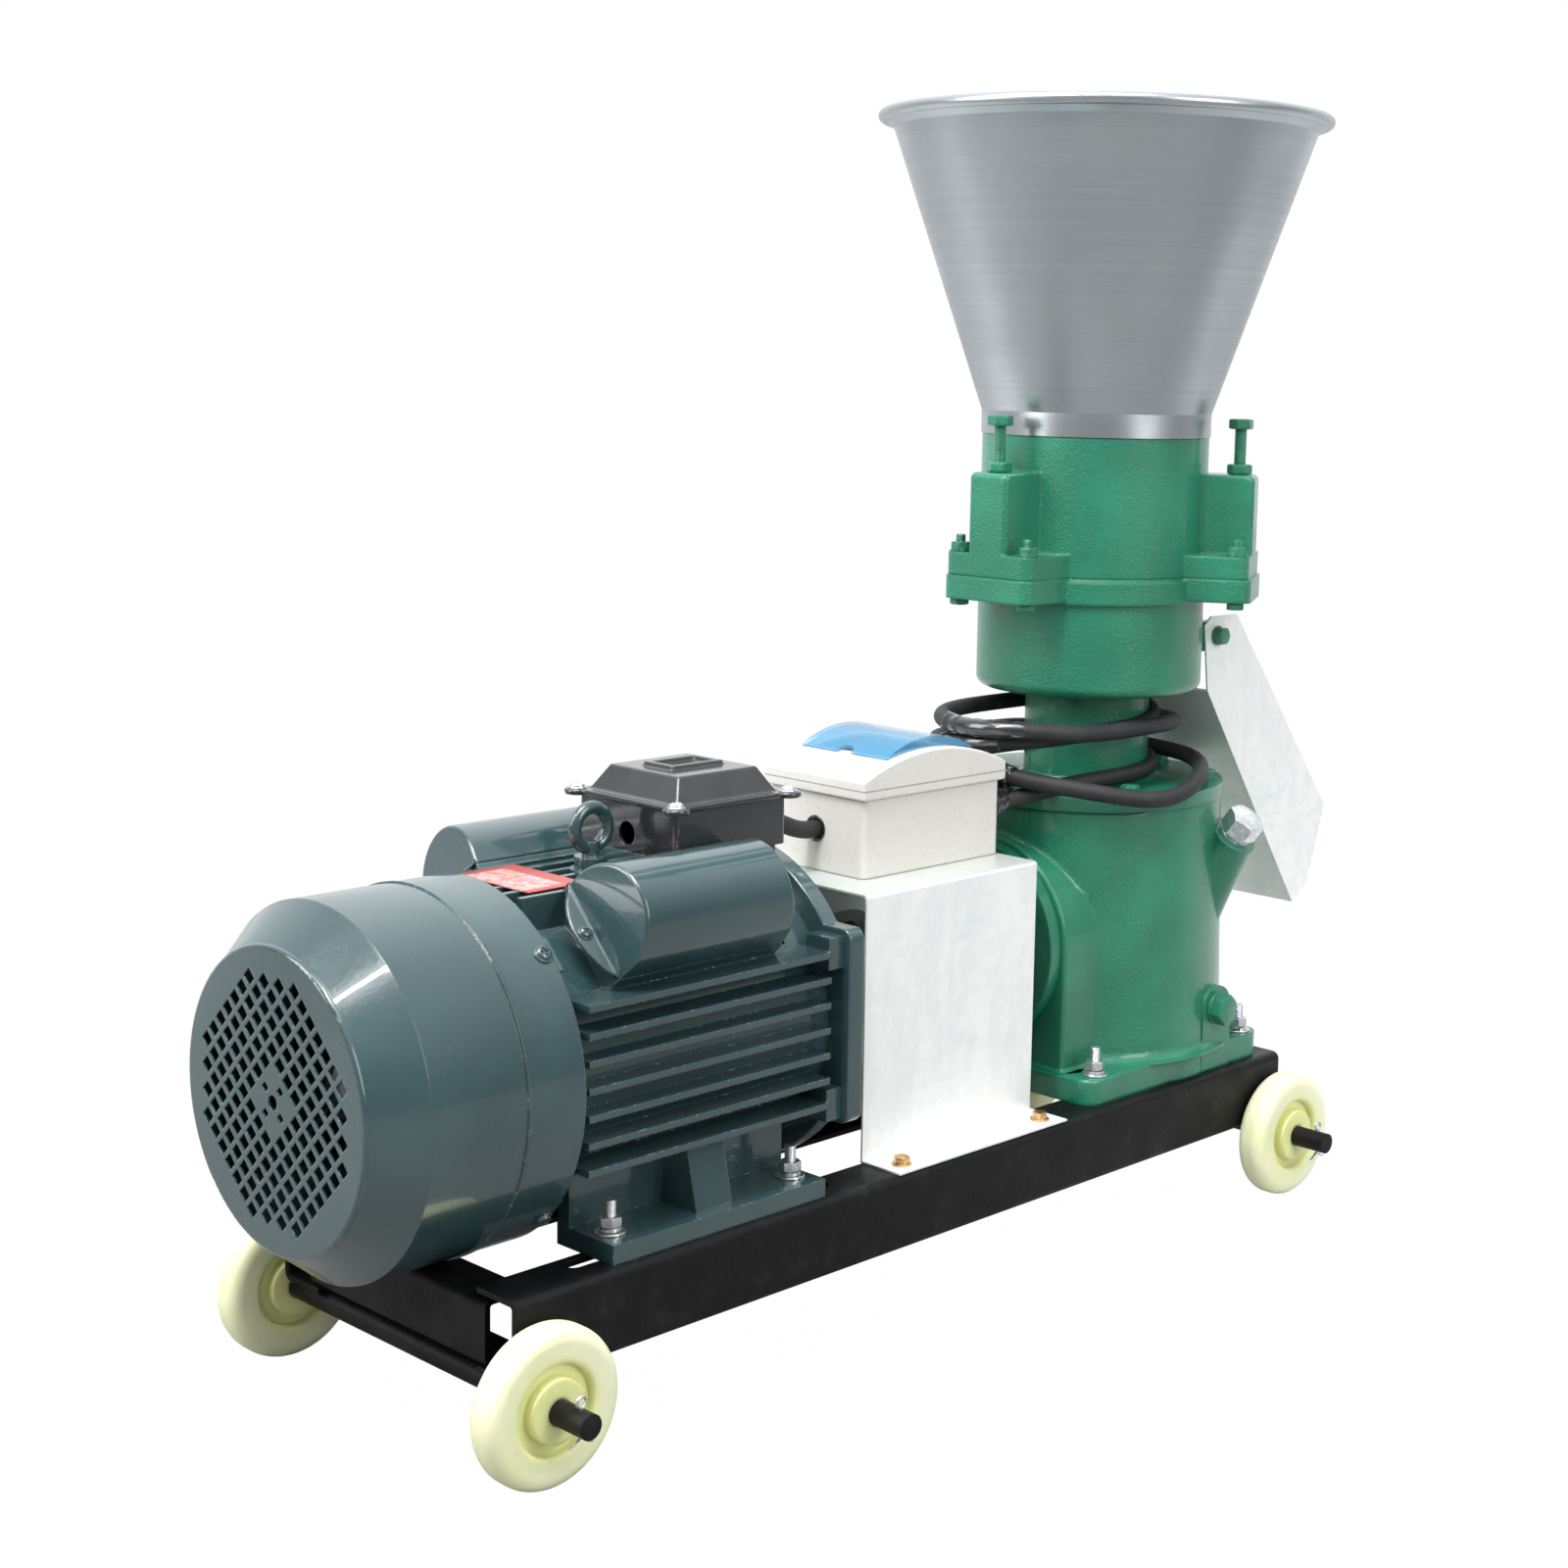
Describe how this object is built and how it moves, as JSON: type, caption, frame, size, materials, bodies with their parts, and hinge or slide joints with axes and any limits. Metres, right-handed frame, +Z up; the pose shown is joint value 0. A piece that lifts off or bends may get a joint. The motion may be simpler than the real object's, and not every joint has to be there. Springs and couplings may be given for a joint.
{
  "type": "feed pellet mill",
  "caption": "Wheeled flat-die pellet mill: a foot motor drives a green gearbox, with a barrel and a sheet hopper over it, a guarded coupling and a side chute.",
  "frame": {"origin": "centre of the bounding box's bottom face, on the floor under the wheels", "axes": "+X from the motor to the mill, +Y across to the side away from the camera, +Z up"},
  "size_m": [0.9998, 0.359, 0.861],
  "materials": {
    "frame_paint": "satin black paint",
    "zinc": "bright zinc plate",
    "motor_paint": "dark blue-green gloss paint",
    "core_iron": "laminated core with varnished windings",
    "steel": "machined steel",
    "die_steel": "hardened steel",
    "cast_parts": "bare casting",
    "spider": "red elastomer",
    "black_plastic": "moulded black plastic",
    "cable_rubber": "black rubber sheath",
    "capacitor_case": "light plastic case",
    "plate": "bare printed plate",
    "galvanised": "galvanised sheet",
    "yellow_zinc": "yellow zinc plate",
    "box_plastic": "off-white plastic",
    "window": "tinted clear plastic",
    "breaker_plastic": "light grey plastic",
    "toggle_plastic": "blue plastic",
    "mill_paint": "green gloss paint on castings",
    "bright_plug": "bright machined plug",
    "hopper_sheet": "spun aluminium",
    "wheel_nylon": "cream nylon"
  },
  "bodies": {
    "base": {"near_rail": "frame_paint", "far_rail": "frame_paint", "crossmembers": "frame_paint", "axles": "frame_paint", "cotter_pins": "zinc", "motor_frame": "motor_paint", "stator_core": "core_iron", "fan_end_shield": "motor_paint", "drive_end_shield": "motor_paint", "fan_cover": "motor_paint", "motor_screws": "zinc", "motor_bearings": "steel", "hold_down_studs": "zinc", "terminal_box": "black_plastic", "terminal_box_lid": "black_plastic", "capacitor_covers": "motor_paint", "capacitors": "capacitor_case", "lifting_eye": "motor_paint", "rating_plate": "plate", "motor_lead": "cable_rubber", "coupling_guard": "galvanised", "guard_bolts": "yellow_zinc", "control_box": "box_plastic", "control_box_lid": "box_plastic", "circuit_breaker": "breaker_plastic", "gearbox_housing": "mill_paint", "gearbox_cover": "mill_paint", "input_bearing_cap": "mill_paint", "gearbox_bearings": "steel", "oil_filler_cap": "bright_plug", "drain_plug": "mill_paint", "mill_bolts": "mill_paint", "lower_barrel": "mill_paint", "upper_barrel": "mill_paint", "chute_pivots": "mill_paint", "power_cable": "cable_rubber", "power_plug": "cable_rubber"},
    "drive_line": {"rotor": "steel", "cooling_fan": "black_plastic", "motor_coupling_half": "cast_parts", "coupling_spider": "spider", "mill_coupling_half": "cast_parts", "input_shaft": "steel"},
    "die_shaft": {"main_shaft": "steel", "bevel_gear": "steel", "pellet_die": "die_steel", "throw_off_disc": "cast_parts"},
    "roller_head": {"roller_carrier": "cast_parts", "adjusting_bolts": "mill_paint"},
    "first_roller": {"roller_a": "die_steel"},
    "second_roller": {"roller_b": "die_steel"},
    "third_roller": {"roller_c": "die_steel"},
    "hopper": {"hopper": "hopper_sheet"},
    "window": {"control_box_window": "window"},
    "toggle": {"breaker_toggle": "toggle_plastic"},
    "chute": {"discharge_chute": "galvanised"},
    "near_motor_wheel": {"near_motor_wheel": "wheel_nylon"},
    "far_motor_wheel": {"far_motor_wheel": "wheel_nylon"},
    "near_mill_wheel": {"near_mill_wheel": "wheel_nylon"},
    "far_mill_wheel": {"far_mill_wheel": "wheel_nylon"}
  },
  "joints": [
    {"name": "near_motor_wheel_spin", "type": "hinge", "parent": "base", "child": "near_motor_wheel", "pos_m": [-0.4041, 0, 0.05], "axis": [0, 1, 0], "continuous": true},
    {"name": "far_motor_wheel_spin", "type": "hinge", "parent": "base", "child": "far_motor_wheel", "pos_m": [-0.4041, 0, 0.05], "axis": [0, 1, 0], "continuous": true},
    {"name": "near_mill_wheel_spin", "type": "hinge", "parent": "base", "child": "near_mill_wheel", "pos_m": [0.3549, 0, 0.05], "axis": [0, 1, 0], "continuous": true},
    {"name": "far_mill_wheel_spin", "type": "hinge", "parent": "base", "child": "far_mill_wheel", "pos_m": [0.3549, 0, 0.05], "axis": [0, 1, 0], "continuous": true},
    {"name": "main_spin", "type": "hinge", "parent": "base", "child": "die_shaft", "pos_m": [0.2529, 0, 0.48], "axis": [0, 0, 1], "continuous": true},
    {"name": "drive_spin", "type": "hinge", "parent": "base", "child": "drive_line", "pos_m": [0.2529, 0, 0.224], "axis": [1, 0, 0], "continuous": true},
    {"name": "head_lift", "type": "slide", "parent": "base", "child": "roller_head", "axis": [0, 0, 1], "range_m": [0, 0.008]},
    {"name": "first_roller_spin", "type": "hinge", "parent": "roller_head", "child": "first_roller", "pos_m": [0.2529, 0, 0.5303], "axis": [-1, 0, 0], "continuous": true},
    {"name": "second_roller_spin", "type": "hinge", "parent": "roller_head", "child": "second_roller", "pos_m": [0.2529, 0, 0.5303], "axis": [0.5, -0.866, 0], "continuous": true},
    {"name": "third_roller_spin", "type": "hinge", "parent": "roller_head", "child": "third_roller", "pos_m": [0.2529, 0, 0.5303], "axis": [0.5, 0.866, 0], "continuous": true},
    {"name": "hopper_lift", "type": "slide", "parent": "base", "child": "hopper", "axis": [0, 0, 1], "range_m": [0, 0.12]},
    {"name": "window_hinge", "type": "hinge", "parent": "base", "child": "window", "pos_m": [0.0654, 0, 0.385], "axis": [0, 1, 0], "range_deg": [0, 90]},
    {"name": "toggle_throw", "type": "hinge", "parent": "base", "child": "toggle", "pos_m": [0.0204, 0, 0.356], "axis": [0, 1, 0], "range_deg": [0, 50]},
    {"name": "chute_swing", "type": "hinge", "parent": "base", "child": "chute", "pos_m": [0.3349, 0, 0.453], "axis": [0, -1, 0], "range_deg": [0, 35]}
  ],
  "couplings": [
    {"joint": "drive_spin", "follows": "main_spin", "ratio": -3},
    {"joint": "first_roller_spin", "follows": "main_spin", "ratio": 1.6},
    {"joint": "second_roller_spin", "follows": "main_spin", "ratio": 1.6},
    {"joint": "third_roller_spin", "follows": "main_spin", "ratio": 1.6}
  ]
}
